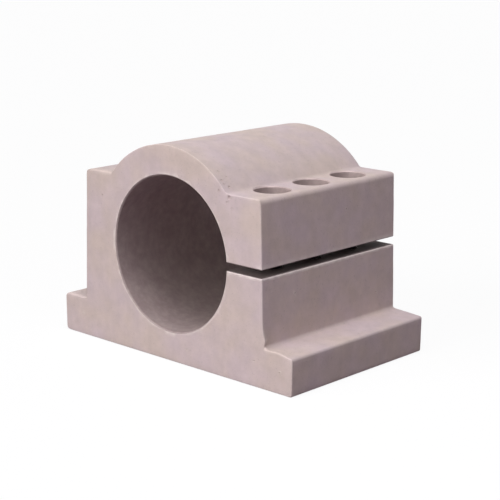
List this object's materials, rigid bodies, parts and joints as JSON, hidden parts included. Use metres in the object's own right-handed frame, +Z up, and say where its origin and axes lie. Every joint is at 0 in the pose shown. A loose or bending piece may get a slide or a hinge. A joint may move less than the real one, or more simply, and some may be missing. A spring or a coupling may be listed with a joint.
{
  "type": "shaft clamp",
  "caption": "Cast block with a wide flanged base, a large split bore under a domed top, and cap screws sunk in one shoulder that close the slit to grip a round shaft or motor body.",
  "frame": {"origin": "centre of the base's underside", "axes": "+Z up, +Y along the bore, +X across the base towards the side that the slit opens"},
  "size_m": [0.129, 0.078, 0.086],
  "materials": {
    "cast_aluminium": "blasted casting, matt, warm grey",
    "screw_steel": "black oxide"
  },
  "bodies": {
    "root": {"clamp_body": "cast_aluminium", "clamp_screws": "screw_steel"}
  },
  "joints": []
}
